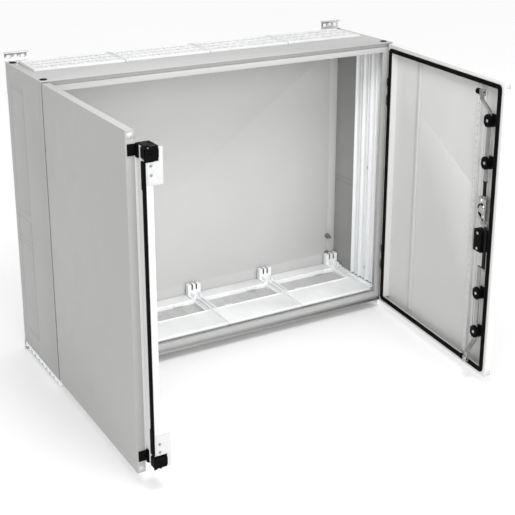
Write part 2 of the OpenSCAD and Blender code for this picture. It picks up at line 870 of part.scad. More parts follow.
// The zinc housing of the rack and pinion
module lock_case() {
    p = rack_x + rack_w + pocket_c;
    color("silver") on_right_door() translate([rod_x, 0, lock_z]) difference() {
        span([-case_a / 2, skin_pl, -case_up], [case_a / 2, case_top, case_up]);
        span([-p, rod_y - pocket_c, -case_up - eps], [p, rod_y + rod_t + pocket_c, case_up + eps]);
        rod_along_y(0, 0, hub_d + 2 * run_clear, skin_pl - eps, case_top + eps);
    }
}

// The lower rod's bar beside the lock cylinder, and the heights where the rod steps across to it
bar_x1 = -22;
bar_x2 = -10;
step_h = 8;
step_top = lock_z - case_up - 5;
step_low = -102;

// The black housing of the lock cylinder, with a channel for the lower rod's bar
cyl_top = step_top - step_h - rod_travel - 2;
cyl_h = 58;
cyl_x1 = bar_x2 + 2;
cyl_x2 = 24;
cyl_lip = 2.5;
cyl_screw_x = (cyl_x1 + cyl_x2) / 2;
cyl_screw_z = [8, cyl_h - 8];

module cylinder_case() {
    low = cyl_top - cyl_h;
    color("black") on_right_door() translate([rod_x, 0, 0]) difference() {
        union() {
            span([cyl_x1, skin_pl, low], [cyl_x2, guide_top, cyl_top]);
            span([bar_x1 - 1.5 - cyl_lip, skin_pl, low + 6], [cyl_x1, rod_y - 1.5, cyl_top - 6]);
            span([bar_x1 - 1.5 - cyl_lip, skin_pl, low + 12], [bar_x1 - 1.5, rear_pl - 1, cyl_top - 12]);
        }
        for (z = cyl_screw_z) rod_along_y(cyl_screw_x, cyl_top - z, 5, rod_y + rod_t + 1, guide_top + eps);
    }
}

module case_screws() {
    color("silver") on_right_door() for (z = cyl_screw_z) {
        rod_along_y(rod_x + cyl_screw_x, cyl_top - z, 4.8, rod_y + rod_t + 1.5, guide_top);
        rod_along_y(rod_x + cyl_screw_x, cyl_top - z, 8, guide_top, guide_top + 1);
    }
}

hub_back = face_pl - plate_t;
lever_y = hub_back - 1;

// The outer handle plate with the bearing of the hub and the lock cylinder
module handle_plate() {
    color("dimgray") on_right_door() translate([rod_x, 0, lock_z]) difference() {
        union() {
            span([-plate_w / 2, hub_back, -plate_down], [plate_w / 2, face_pl, plate_up - plate_w / 4]);
            intersection() {
                rod_along_y(0, plate_up - plate_w / 2, plate_w, hub_back, face_pl);
                span([-plate_w, hub_back - eps, 0], [plate_w, face_pl + eps, plate_w]);
            }
        }
        rod_along_y(0, 0, hub_out_d + 2 * run_clear, hub_back - eps, face_pl + eps);
    }
}

lever_w = 22;
lever_t = 11;
lever_l = 128;
pin_d = 5;
pin_y = hub_back - 8;

// The turning hub with the ears that carry the lever
module handle_hub() {
    a = spindle_a + 2 * run_clear;
    color("dimgray") on_handle() difference() {
        union() {
            rod_along_y(0, 0, hub_out_d, hub_back - 1, face_pl - 0.2);
            for (s = [-1, 1])
                span([s * 8.5 - 2.5, pin_y - 5, -7], [s * 8.5 + 2.5, hub_back - 1, 7]);
        }
        span([-a / 2, hub_back - 2, -a / 2], [a / 2, face_pl, a / 2]);
        rod_along_x(pin_y, 0, pin_d, -12, 12);
    }
}

// The lever, folded flat on the door and pivoting at the hub
module handle_lever() {
    color("dimgray") on_handle() difference() {
        union() {
            span([-5.5, pin_y - 5, -9], [5.5, pin_y + 4, 5]);
            span([-lever_w / 2, lever_y - lever_t, -lever_l], [lever_w / 2, lever_y, -12]);
            span([-5.5, lever_y - lever_t, -14], [5.5, pin_y + 4, -7]);
        }
        rod_along_x(pin_y, 0, pin_d + 2 * run_clear, -12, 12);
    }
}

module lever_pin() {
    color("silver") on_handle() rod_along_x(pin_y, 0, pin_d, -11, 11);
}

module square_spindle() {
    a = spindle_a / 2;
    color("dimgray") on_right_door() translate([rod_x, 0, lock_z])
        span([-a, hub_back, -a], [a, case_top + 3, a]);
}

// One trapezoid tooth standing up from the pitch line
module tooth(w) {
    t = addendum * 0.5;
    polygon([[-w / 2 - t, -addendum - 0.6], [w / 2 + t, -addendum - 0.6], [w / 2 - t, addendum],
        [-w / 2 + t, addendum]]);
}

// The pinion on the spindle, with its long hub through the door's face
module lock_pinion() {
    a = spindle_a + 2 * run_clear;
    w = PI * pinion_r / pinion_teeth - tooth_gap;
    color("silver") on_right_door() translate([rod_x, 0, lock_z]) difference() {
        union() {
            rod_along_y(0, 0, hub_d, face_pl, case_top + 1.5);
            translate([0, rod_y, 0]) rotate([90, 0, 0]) mirror([0, 0, 1]) linear_extrude(rod_t) {
                circle(pinion_r - addendum - 0.2);
                for (i = [0:pinion_teeth - 1]) rotate(i * 360 / pinion_teeth) translate([0, pinion_r])
                    tooth(w);
            }
        }
        span([-a / 2, face_pl - eps, -a / 2], [a / 2, case_top + 4, a / 2]);
    }
}

rod_end_r = 8;
rod_end_z = roller_z + rod_end_r - 1;
crank_z1 = roller_z - 52;
crank_z2 = roller_z - 18;
rack_tail = 19;
rack_head = 26;
rack_half = 4;
neck_h = 8;
link_d = 9;
link_top = 132;

// A flat shape in the xz plane, given the rods' thickness
module rod_plate() {
    translate([0, rod_y, 0]) rotate([90, 0, 0]) mirror([0, 0, 1]) linear_extrude(rod_t) children();
}

// A rack beside the spindle at height z, with the neck that leads back to the middle; side is 1 or -1
module rack(side, z) {
    pitch = 2 * PI * pinion_r / pinion_teeth;
    left = side > 0 ? rack_x : -rack_x - rack_w;
    neck_left = side > 0 ? -rod_w / 2 : left;
    translate([0, z]) {
        translate([left, -rack_tail]) square([rack_w, rack_tail + rack_head + neck_h]);
        for (i = [-rack_half:rack_half - 1])
            translate([side * pinion_r, (i + 0.5) * pitch]) rotate(side * 90) tooth(pitch / 2 - tooth_gap);
        translate([neck_left, rack_head]) square([rack_x + rack_w + rod_w / 2, neck_h]);
    }
}

// A rod's outer part: the blade from height z, the crank and the end with the roller's bore
module rod_outer(z) {
    y2 = roller_y + rod_t / 2;
    y1 = roller_y - rod_t / 2;
    difference() {
        union() {
            rod_plate() translate([-rod_w / 2, z]) square([rod_w, crank_z1 - z]);
            translate([-rod_w / 2, 0, 0]) rotate([90, 0, 90]) linear_extrude(rod_w)
                polygon([[rod_y, crank_z1], [rod_y + rod_t, crank_z1], [y2, crank_z2], [y2,
                    roller_z - rod_end_r],
                    [y1, roller_z - rod_end_r], [y1, crank_z2 + rod_t / 2], [rod_y, crank_z1 + rod_t]]);
            span([-rod_w / 2, roller_y - 5, roller_z - rod_end_r], [rod_w / 2, roller_y + 5, rod_end_z]);
        }
        rod_along_x(roller_y, roller_z, axle_d + 2 * run_clear, -rod_w, rod_w);
    }
}

// The upper rod: rack, round link and blade
module upper_rod() {
    z1 = lock_z + rack_head + neck_h;
    color("silver") on_right_door() translate([rod_x, 0, 0]) {
        rod_plate() rack(-1, lock_z);
        translate([0, rod_y + rod_t / 2, z1 - neck_h / 2]) cylinder(d = link_d,
            h = link_top - z1 + neck_h / 2);
        translate([0, rod_y + rod_t / 2, link_top - 5]) cylinder(d = link_d + 3, h = 5);
        rod_outer(link_top - 6);
    }
}

// The lower rod: rack, a step across to the bar beside the lock cylinder, and back to the blade
module lower_rod() {
    stem_top = -lock_z + rack_head;
    color("silver") on_right_door() translate([rod_x, 0, 0]) mirror([0, 0, 1]) {
        rod_plate() {
            rack(1, -lock_z);
            translate([-rod_w / 2, stem_top]) square([rod_w, step_h - step_top - stem_top]);
            translate([bar_x1, -step_top]) square([rod_w / 2 - bar_x1, step_h]);
            translate([bar_x1, -step_top]) square([bar_x2 - bar_x1, step_top - step_low + step_h]);
            translate([bar_x1, -step_low]) square([rod_w / 2 - bar_x1, step_h]);
        }
        rod_outer(-step_low);
    }
}

// A plastic roller with its axle through the rod's end
module roller() {
    x = rod_x + rod_w / 2 + 0.5;
    rod_along_x(roller_y, roller_z, roller_d, x, x + roller_w);
    rod_along_x(roller_y, roller_z, axle_d, rod_x - rod_w / 2, x);
}

module upper_roller() color("black") on_right_door() roller();

module lower_roller() color("black") on_right_door() mirror([0, 0, 1]) roller();

left_side_panel();
right_side_panel();
top_panel();
bottom_panel();
rear_panel();
front_frame();
left_side_profile();
right_side_profile();
profile_screws();
top_cable_flanges();
bottom_cable_flanges();
cable_trays();
field_clips();
bottom_edge_strips();
corner_plugs();
wall_brackets();
bracket_bolts();
earth_stud();
hinge_body_leaves();
hinge_pins();
left_door_panel();
left_door_seal();
left_door_stiffener();
left_hinge_leaves();
meeting_stile();
meeting_seal();
top_latch_housing();
bottom_latch_housing();
top_latch_bolt();
bottom_latch_bolt();
strike_plates();
strike_screws();
right_door_panel();
right_door_seal();
right_door_stiffener();
perforated_rail();
right_hinge_leaves();
rod_guides();
guide_screws();
lock_case();
cylinder_case();
case_screws();
handle_plate();
lock_pinion();
square_spindle();
handle_hub();
handle_lever();
lever_pin();
upper_rod();
lower_rod();
upper_roller();
lower_roller();
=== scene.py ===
"""Industrial switchboard cabinet with open double doors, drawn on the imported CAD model."""
import json
import math

import bmesh
import bpy
import numpy as np
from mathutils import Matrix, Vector
from mathutils.geometry import tessellate_polygon

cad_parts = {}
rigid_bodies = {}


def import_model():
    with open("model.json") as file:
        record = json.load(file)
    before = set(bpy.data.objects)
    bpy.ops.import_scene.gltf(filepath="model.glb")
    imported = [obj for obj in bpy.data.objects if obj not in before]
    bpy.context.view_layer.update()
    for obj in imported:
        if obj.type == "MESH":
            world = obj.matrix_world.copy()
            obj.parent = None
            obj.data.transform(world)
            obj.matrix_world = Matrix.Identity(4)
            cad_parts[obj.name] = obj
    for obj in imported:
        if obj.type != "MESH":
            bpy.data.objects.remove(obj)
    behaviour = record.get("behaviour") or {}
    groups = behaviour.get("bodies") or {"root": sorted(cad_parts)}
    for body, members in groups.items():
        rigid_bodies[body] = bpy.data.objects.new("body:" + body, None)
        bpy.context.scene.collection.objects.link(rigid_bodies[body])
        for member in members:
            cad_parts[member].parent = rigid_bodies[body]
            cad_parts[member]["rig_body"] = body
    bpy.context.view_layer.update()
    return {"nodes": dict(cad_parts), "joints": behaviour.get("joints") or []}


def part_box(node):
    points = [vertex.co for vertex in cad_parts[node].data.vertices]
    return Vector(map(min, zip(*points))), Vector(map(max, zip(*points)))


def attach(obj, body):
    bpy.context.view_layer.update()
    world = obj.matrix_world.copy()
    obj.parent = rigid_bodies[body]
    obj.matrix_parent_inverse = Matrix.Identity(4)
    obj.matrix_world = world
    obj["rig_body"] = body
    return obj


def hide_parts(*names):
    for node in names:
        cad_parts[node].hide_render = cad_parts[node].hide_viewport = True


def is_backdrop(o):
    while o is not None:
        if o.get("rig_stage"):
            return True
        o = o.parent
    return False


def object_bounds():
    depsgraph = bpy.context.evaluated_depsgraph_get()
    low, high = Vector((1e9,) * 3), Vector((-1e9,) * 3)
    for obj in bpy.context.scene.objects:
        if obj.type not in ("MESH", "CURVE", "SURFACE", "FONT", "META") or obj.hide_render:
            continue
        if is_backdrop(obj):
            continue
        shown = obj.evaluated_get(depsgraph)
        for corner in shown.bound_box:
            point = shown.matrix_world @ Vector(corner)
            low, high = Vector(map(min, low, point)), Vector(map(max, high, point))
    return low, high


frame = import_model()
MM = 0.001

# ---------------------------------------------------------------- places taken from the CAD model

joints = {j["name"]: j for j in frame["joints"]}
LEFT_AXIS = Vector(joints["left_door_hinge"]["pos_m"])
RIGHT_AXIS = Vector(joints["right_door_hinge"]["pos_m"])
LEFT_OPEN = math.radians(joints["left_door_hinge"]["range_deg"][1])
RIGHT_OPEN = math.radians(-joints["right_door_hinge"]["range_deg"][0])


def body_place(points):
    """Millimetres in the cabinet's own frame to metres: nothing but the scale."""
    return np.asarray(points, float) * MM


def right_place(points):
    """Millimetres in the closed right door's frame to metres on the open door: a turn about z by the
    opening angle, then a move to the hinge axis."""
    p = np.asarray(points, float) * MM
    c, s = math.cos(RIGHT_OPEN), math.sin(RIGHT_OPEN)
    x = p[:, 0] * c - p[:, 1] * s + RIGHT_AXIS.x
    y = p[:, 0] * s + p[:, 1] * c + RIGHT_AXIS.y
    return np.stack([x, y, p[:, 2]], axis=1)


def left_place(points):
    """The same for the left door: x changes sign first, then the turn goes the other way."""
    p = np.asarray(points, float) * MM
    c, s = math.cos(-LEFT_OPEN), math.sin(-LEFT_OPEN)
    x = -p[:, 0] * c - p[:, 1] * s + LEFT_AXIS.x
    y = -p[:, 0] * s + p[:, 1] * c + LEFT_AXIS.y
    return np.stack([x, y, p[:, 2]], axis=1)


# ---------------------------------------------------------------- shader maths

class Wire:
    """A socket in a node tree. Sums and products of wires and numbers add Math nodes."""

    def __init__(self, tree, socket=None):
        self.tree = tree
        self.socket = socket

    def node(self, kind, settings=None, inputs=None, out=0):
        """Adds one node: its settings first, then the values or links of its sockets; gives one output."""
        made = self.tree.nodes.new(kind)
        for key, value in (settings or {}).items():
            setattr(made, key, value)
        for key, value in (inputs or {}).items():
            if isinstance(value, Wire):
                self.tree.links.new(value.socket, made.inputs[key])
            else:
                made.inputs[key].default_value = value
        return Wire(self.tree, made.outputs[out])

    def math(self, operation, *values):
        return self.node("ShaderNodeMath", {"operation": operation}, dict(enumerate(values)))

    def __add__(self, other):
        return self.math("ADD", self, other)

    def __radd__(self, other):
        return self.math("ADD", other, self)

    def __sub__(self, other):
        return self.math("SUBTRACT", self, other)

    def __rsub__(self, other):
        return self.math("SUBTRACT", other, self)

    def __mul__(self, other):
        return self.math("MULTIPLY", self, other)

    def __rmul__(self, other):
        return self.math("MULTIPLY", other, self)

    def noise(self, scale, detail, rough=0.5, stretch=(1, 1, 1)):
        """Grain at a given number of waves per metre, stretched along the object's axes."""
        own = self.node("ShaderNodeTexCoord", out=3)
        scaled = self.node("ShaderNodeMapping", {}, {"Vector": own, "Scale": stretch})
        return self.node("ShaderNodeTexNoise", {}, {"Vector": scaled, "Scale": scale, "Detail": detail,
                                                   "Roughness": rough})

    def place(self):
        """The object's own x, y and z in metres, as three wires."""
        own = self.node("ShaderNodeTexCoord", out=3)
        parts = self.tree.nodes.new("ShaderNodeSeparateXYZ")
        self.tree.links.new(own.socket, parts.inputs[0])
        return [Wire(self.tree, output) for output in parts.outputs]

    def off(self, centre, reach):
        """How far this wire lies outside an interval about a centre: negative within it."""
        return self.math("ABSOLUTE", self - centre) - reach

    def most(self, other):
        """The larger of two wires."""
        return self.math("MAXIMUM", self, other)

    def thin(self, width):
        """1 on a line of this half width about zero, 0 away from it."""
        return 1.0 - self.math("ABSOLUTE", self).band(width * 0.5, width)

    def band(self, low, high):
        """0 below low, 1 above high, smooth between."""
        return self.node("ShaderNodeMapRange", {"interpolation_type": "SMOOTHSTEP"},
                         {"Value": self, "From Min": low, "From Max": high})

    def blend(self, first, second):
        """A colour that goes from first to second as this wire goes from 0 to 1."""
        return self.node("ShaderNodeMix", {"data_type": "RGBA"}, {0: self, 6: first, 7: second}, out=2)

    def bump(self, strength, depth, under=None):
        """A normal raised by this height."""
        inputs = {"Height": self, "Strength": strength, "Distance": depth}
        if under is not None:
            inputs["Normal"] = under
        return self.node("ShaderNodeBump", {}, inputs)


def material(name, **fixed):
    """A new material and the wire that builds on it; fixed holds the shader's even values."""
    made = bpy.data.materials.new(name)
    made.use_nodes = True
    shader = made.node_tree.nodes["Principled BSDF"]
    for key, value in fixed.items():
        shader.inputs[key.replace("_", " ")].default_value = value
    return made, Wire(made.node_tree), shader


def connect(wire, shader, **links):
    """Links wires to the shader's sockets by name."""
    for key, value in links.items():
        wire.tree.links.new(value.socket, shader.inputs[key.replace("_", " ")])


def shade(value, tint=(1.0, 1.0, 1.0)):
    """A grey with a faint tint, as a colour with full alpha."""
    return (value * tint[0], value * tint[1], value * tint[2], 1.0)


def powder(w):
    """What every powder coat has: a faint cloudy and flecked tone, dust that dulls the gloss in patches,
    and a fine orange-peel bump."""
    cloud = w.noise(3.5, 3.0, 0.6)
    fleck = w.noise(900.0, 1.0, 0.4)
    tone = cloud.band(0.35, 0.7) * 0.6 + fleck.band(0.3, 0.8) * 0.4
    dust = w.noise(14.0, 5.0, 0.65).band(0.45, 0.75)
    return tone, dust, w.noise(420.0, 2.0, 0.45).bump(0.07, 0.0006)


def painted_steel(name, light, tint, rough=0.42):
    """Plain powder-coated sheet."""
    made, w, shader = material(name, Specular_IOR_Level=0.5, IOR=1.48)
    tone, dust, skin = powder(w)
    colour = tone.blend(shade(light * 0.965, tint), shade(light * 1.02, tint))
    connect(w, shader, Base_Color=colour, Roughness=dust * 0.10 + rough, Normal=skin)
    return made


def pressed_side(name, light, tint):
    """The side sheets' powder coat with the shallow grooves of two pressed fields and of a seam near the front: the
    groove is where the distance to a field's outline, or to the seam, is close to zero. The grooves are bumped and
    also painted darker, as painted shade in the creases."""
    made, w, shader = material(name, Specular_IOR_Level=0.5, IOR=1.48)
    _, y, z = w.place()
    depth = y.off(PRESSED_Y, PRESSED_HALF_D)
    groove = y.off(SEAM_Y, 0.0).thin(SEAM_LINE)
    for middle, half in PRESSED_FIELDS:
        groove = groove.most(depth.most(z.off(middle, half)).thin(PRESSED_LINE))
    tone, dust, peel = powder(w)
    # Painted shade: the grooves are painted darker in colour, standing in for the shade in the creases.
    tone = tone - groove * 0.9
    colour = tone.band(-1.0, 1.0).blend(shade(light * 0.82, tint), shade(light * 1.04, tint))
    skin = (1.0 - groove).bump(0.5, 0.0008, peel)
    connect(w, shader, Base_Color=colour, Roughness=dust * 0.10 + 0.42, Normal=skin)
    return made


def drawn_rod(name, light, dark, low, high):
    """Zinc-plated bar, brushed along its length, with a blackened part between two heights."""
    made, w, shader = material(name, Specular_IOR_Level=0.12)
    _, _, z = w.place()
    middle = (low + high) / 2
    black = 1.0 - z.off(middle, (high - low) / 2).band(-0.001, 0.001)
    mottle = w.noise(85.0, 4.0, 0.6)
    bare = mottle.band(0.3, 0.75).blend(shade(light * 0.84), shade(light * 1.05))
    drawn = w.noise(500.0, 2.0, 0.6, (1, 1, 0.05))
    connect(w, shader, Base_Color=black.blend(bare, shade(dark)), Metallic=1.0 - black, Roughness=drawn * 0.16 + 0.28,
            Normal=drawn.bump(0.10, 0.0002))
    return made


def moulded_plastic(name, light, tint, rough, grain=0.10, shine=0.5):
    """Moulded plastic: faint flow marks, a satin grain and slightly uneven gloss."""
    made, w, shader = material(name, Specular_IOR_Level=shine, IOR=1.49)
    flow = w.noise(16.0, 3.0, 0.55, (1.0, 0.35, 1.0))
    colour = flow.band(0.3, 0.75).blend(shade(light * 0.96, tint), shade(min(light * 1.03, 0.95), tint))
    gloss = w.noise(60.0, 3.0, 0.6)
    skin = w.noise(1400.0, 1.0, 0.5).bump(grain, 0.0003)
    connect(w, shader, Base_Color=colour, Roughness=gloss * 0.12 + rough, Normal=skin)
    return made


def plated_metal(name, light, tint, rough):
    """Zinc-plated or die-cast metal: mottled tone, fine brushing and small dull spots."""
    made, w, shader = material(name, Metallic=1.0)
    mottle = w.noise(85.0, 4.0, 0.6)
    colour = mottle.band(0.3, 0.75).blend(shade(light * 0.86, tint), shade(light * 1.05, tint))
    drawn = w.noise(500.0, 2.0, 0.6, (1, 1, 14))
    dull = w.noise(180.0, 3.0, 0.6).band(0.55, 0.7)
    connect(w, shader, Base_Color=colour, Roughness=drawn * 0.14 + dull * 0.10 + rough,
            Normal=drawn.bump(0.08, 0.0002))
    return made


def seal_rubber(name):
    """Foamed sealing rubber: near black, fine pores and a dusty bloom."""
    made, w, shader = material(name, Specular_IOR_Level=0.03)
    pores = w.noise(1800.0, 2.0, 0.6)
    bloom = w.noise(30.0, 4.0, 0.6).band(0.4, 0.8)
    colour = bloom.blend(shade(0.003), shade(0.006))
    connect(w, shader, Base_Color=colour, Roughness=pores * 0.2 + 0.55, Normal=pores.bump(0.25, 0.0003))
    return made


# The pressed fields of the side sheets and the seam, in metres: middle and half length of each
PRESSED_Y, PRESSED_HALF_D = -0.073, 0.065
PRESSED_FIELDS = ((0.137, 0.205), (-0.213, 0.130))
PRESSED_LINE, SEAM_LINE = 0.0022, 0.0016
SEAM_Y = -0.268

# Faint tints of the paints and plastics
COOL = (0.985, 1.0, 1.005)
GREY = (1.0, 1.005, 0.985)
# The body, side sheet, right door, inner and front frame coats are copies of one grey powder coat. Each has its own
# brightness for how light falls on that part: the right door's is painted light, and the others' are painted shade.
coat_body_painted_shade = painted_steel("body powder coat darkened as painted shade", 0.36, GREY)
coat_side_painted_shade = pressed_side("side sheet powder coat darkened as painted shade", 0.33, GREY)
coat_door_painted_light = painted_steel("right door powder coat lightened as painted light", 0.64, GREY)
coat_inside_painted_shade = painted_steel("inner powder coat darkened as painted shade", 0.54, GREY, 0.50)
coat_frame_painted_shade = painted_steel("front frame powder coat darkened as painted shade", 0.42, GREY, 0.42)
paint_white = painted_steel("white coated uprights", 0.88, COOL, 0.45)
paint_strike = painted_steel("strike plate coat", 0.56, COOL, 0.40)
plastic_white = moulded_plastic("white cable tray plastic", 0.90, COOL, 0.36)
plastic_flange = moulded_plastic("upper flange plastic", 0.60, COOL, 0.40)
plastic_insert = moulded_plastic("grey cable insert plastic", 0.60, GREY, 0.55, 0.6)
plastic_clip = moulded_plastic("white clip plastic", 0.88, COOL, 0.32)
plastic_black = moulded_plastic("black moulded plastic", 0.002, (1.0, 1.0, 1.03), 0.45, 0.25, 0.05)
handle_black = moulded_plastic("handle plastic", 0.006, (1.0, 1.0, 1.04), 0.44, 0.3, 0.15)
rubber = seal_rubber("door seal rubber")
zinc = plated_metal("zinc-plated rod", 0.62, (1.0, 1.0, 1.01), 0.30)
upper_bar = drawn_rod("upper rod plating", 0.44, 0.006, 0.090, 0.131)
lower_bar = drawn_rod("lower rod plating", 0.44, 0.006, -0.104, 0.012)
zinc_dark = plated_metal("dark plated fixings", 0.30, (1.0, 0.99, 0.97), 0.38)
cast = plated_metal("polished die-cast zinc", 0.62, (1.0, 1.0, 1.0), 0.12)


# ---------------------------------------------------------------- mesh helpers

# Points closer than this, in metres, are joined
SAME_PLACE = 2e-6
# Faces that meet at less than this are flat, and edges sharper than the other are rounded, in so many steps
FLAT_DEG, SHARP_DEG, BEVEL_STEPS = 1.0, 28, 2


def new_piece(name, points, faces, body, finish, bevel=0.0):
    """Makes a piece of points in metres and faces that rides on a CAD body."""
    mesh = bpy.data.meshes.new(name)
    mesh.from_pydata([tuple(p) for p in points], [], [tuple(f) for f in faces])
    mesh.validate()
    built = bmesh.new()
    built.from_mesh(mesh)
    bmesh.ops.remove_doubles(built, verts=built.verts, dist=SAME_PLACE)
    bmesh.ops.recalc_face_normals(built, faces=built.faces)
    built.to_mesh(mesh)
    built.free()
    finish_piece(name, mesh, body, finish, bevel)


def finish_piece(name, mesh, body, finish, bevel, nodes=()):
    """Gives a mesh its material, rounds its edges by the bevel in millimetres, and lets it ride on a CAD
    body, in place of CAD nodes if any are named."""
    piece = bpy.data.objects.new(name, mesh)
    bpy.context.scene.collection.objects.link(piece)
    mesh.materials.clear()
    mesh.materials.append(finish)
    mesh.polygons.foreach_set("use_smooth", [True] * len(mesh.polygons))
    if bevel > 0:
        soft = piece.modifiers.new("edges", "BEVEL")
        soft.width = bevel * MM
        soft.segments = BEVEL_STEPS
        soft.limit_method = "ANGLE"
        soft.angle_limit = math.radians(SHARP_DEG)
        soft.harden_normals = True
    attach(piece, body)
    if nodes:
        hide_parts(*nodes)


def softened(node, finish, bevel):
    """A merged copy of a CAD node with its flat faces joined up and its edges rounded."""
    source = frame["nodes"][node]
    mesh = source.data.copy()
    mesh.name = node + "_soft"
    built = bmesh.new()
    built.from_mesh(mesh)
    bmesh.ops.remove_doubles(built, verts=built.verts, dist=2 * SAME_PLACE)
    bmesh.ops.dissolve_limit(built, angle_limit=math.radians(FLAT_DEG), verts=built.verts, edges=built.edges)
    built.to_mesh(mesh)
    built.free()
    finish_piece(node + "_soft", mesh, source["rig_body"], finish, bevel, (node,))


def outline(half_w, half_h, radius, steps=5, centre=(0.0, 0.0)):
    """A rectangle with round corners, as points: each corner is a quarter circle of the radius."""
    turn = np.linspace(0, np.pi / 2, steps)
    parts = []
    for k, (sx, sy) in enumerate([(1, 1), (-1, 1), (-1, -1), (1, -1)]):
        a = turn + k * np.pi / 2
        parts.append(np.stack([sx * (half_w - radius) + radius * np.cos(a),
                               sy * (half_h - radius) + radius * np.sin(a)], axis=1))
    return np.concatenate(parts) + np.asarray(centre)


def stack(rings, closed=False):
    """Skin over a row of rings of equal length: quads between neighbours, and either a face over each end
    or, when closed, quads from the last ring to the first."""
    rings = np.asarray(rings, float)
    count, around = rings.shape[:2]
    index = np.arange(count * around).reshape(count, around)
    top = np.roll(index, -1, axis=0) if closed else index[1:]
    low = index if closed else index[:-1]
    quads = np.stack([low, np.roll(low, -1, axis=1), np.roll(top, -1, axis=1), top], axis=-1).reshape(-1, 4)
    faces = [tuple(q) for q in quads]
    if not closed:
        faces += [tuple(index[0][::-1]), tuple(index[-1])]
    return rings.reshape(-1, 3), faces


def plate(outer, holes, low, high, axes="xyz"):
    """A flat plate: the outline and its holes carried straight from low to high, closed with two faces
    cut into triangles. axes names the directions of the outline's two values and of the thickness."""
    loops = [np.asarray(outer, float)] + [np.asarray(h, float) for h in holes]
    triangles = tessellate_polygon([[Vector((p[0], p[1], 0)) for p in loop] for loop in loops])
    flat = np.concatenate(loops)
    total = len(flat)
    order = ["xyz".index(a) for a in axes]
    points = np.zeros((2 * total, 3))
    points[:, order[0]] = np.tile(flat[:, 0], 2)
    points[:, order[1]] = np.tile(flat[:, 1], 2)
    points[:, order[2]] = np.repeat([low, high], total)
    faces = list(triangles) + [tuple(total + i for i in reversed(t)) for t in triangles]
    start = 0
    for loop in loops:
        i = np.arange(start, start + len(loop))
        j = np.roll(i, -1)
        faces += [tuple(q) for q in np.stack([i, j, j + total, i + total], axis=1)]
        start += len(loop)
    return points, faces


def joined(parts):
    """Several point and face lists as one."""
    points, faces, start = [], [], 0
    for p, f in parts:
        points.append(np.asarray(p, float))
        faces += [tuple(int(i) + start for i in face) for face in f]
        start += len(p)
    return np.concatenate(points), faces


def block(low, high):
    """A box between two corners."""
    corners = [(low[0], low[1]), (high[0], low[1]), (high[0], high[1]), (low[0], high[1])]
    return plate(corners, [], low[2], high[2])


def lathe(profile, around=20, centre=(0, 0, 0), axis="z"):
    """A profile of radius and height turned round the z axis, or laid over to turn round the y axis; it
    starts and ends on the axis or at a rim."""
    profile = np.asarray(profile, float)
    a = np.linspace(0, 2 * np.pi, around, endpoint=False)
    r = profile[:, 0][:, None]
    grid = np.stack([r * np.cos(a), r * np.sin(a), np.repeat(profile[:, 1][:, None], around, axis=1)], axis=-1)
    if axis == "y":
        grid = np.stack([grid[..., 0], grid[..., 2], -grid[..., 1]], axis=-1)
    return stack(grid + np.asarray(centre, float))


# ---------------------------------------------------------------- finishes for the CAD nodes that stay

def dress(finish, slot, bevel, *nodes):
    """The same finish and edge rounding for several CAD nodes."""
    for node in nodes:
        softened(node, finish, bevel)


dress(coat_side_painted_shade, "grey_paint", 0.9, "left_side_panel", "right_side_panel")
dress(coat_body_painted_shade, "grey_paint", 0.9, "top_panel", "bottom_panel")
dress(coat_inside_painted_shade, "grey_paint", 0.4, "rear_panel")
dress(coat_frame_painted_shade, "grey_paint", 0.7, "front_frame")
dress(coat_door_painted_light, "grey_paint", 0.7, "meeting_stile")
dress(coat_inside_painted_shade, "grey_paint", 0.6, "left_door_stiffener", "right_door_stiffener", "perforated_rail")
# Painted light and shade: the two door panels are of one paint, but the left door takes the darker body copy and the
# right door the lighter copy, so the doors differ in tone.
dress(coat_body_painted_shade, "grey_paint", 0.7, "left_door_panel")
dress(coat_door_painted_light, "grey_paint", 0.7, "right_door_panel")
dress(paint_white, "white_steel", 0.8, "left_side_profile", "right_side_profile")
dress(paint_strike, "white_steel", 0.4, "strike_plates")
dress(plastic_white, "white_plastic", 0.8, "cable_trays", "bottom_edge_strips")
dress(plastic_flange, "white_plastic", 0.6, "top_cable_flanges")
dress(plastic_insert, "white_plastic", 0.8, "bottom_cable_flanges")
dress(plastic_clip, "white_plastic", 0.5, "field_clips")
dress(rubber, "seal_rubber", 1.6, "left_door_seal", "right_door_seal", "meeting_seal")
dress(plastic_black, "black_plastic", 1.0, "corner_plugs", "top_latch_housing", "bottom_latch_housing",
      "cylinder_case", "upper_roller", "lower_roller", "top_latch_bolt", "bottom_latch_bolt")
dress(plastic_black, "black_plastic", 0.35, "rod_guides")
dress(upper_bar, "zinc_steel", 0.4, "upper_rod")
dress(lower_bar, "zinc_steel", 0.4, "lower_rod")
dress(handle_black, "handle_black", 1.2, "handle_plate", "handle_hub", "handle_lever")
dress(zinc, "zinc_steel", 0.4, "wall_brackets", "profile_screws", "guide_screws", "case_screws",
      "square_spindle", "lever_pin")
dress(zinc_dark, "zinc_steel", 0.5, "strike_screws", "bracket_bolts", "earth_stud", "hinge_pins")
dress(cast, "die_cast_zinc", 0.7, "lock_case", "lock_pinion", "hinge_body_leaves", "left_hinge_leaves",
      "right_hinge_leaves")


# ---------------------------------------------------------------- small parts the CAD model leaves out

# All in millimetres. The cabinet's own frame for the cable fields, the closed door's frame for the doors
FIELD_PITCH = 250
FIELD_X = [(i - 1.5) * FIELD_PITCH for i in range(4)]
CLIP_X = [(i - 2) * FIELD_PITCH for i in range(5)]
TRAY_TOP = -370.0
INSERT_TOP = -378.2
FLANGE_Y, FLANGE_TOP, CUP_FLOOR = -96, 403.6, 401.1
# Pitch of the knock-outs: the flange's length or depth less its rim, over the number in a row
KNOCK_X, KNOCK_Y = (247 - 24) / 9, (128 - 22) / 3
STILE_OUTER = -538.0
LEFT_FREE_EDGE, RIGHT_FREE_EDGE = -491.0, -542.0
CASE_FACE = 15.3
SPINDLE_X, SPINDLE_Z = -484.0, 55.0
ROLLER_HALF = 6.2


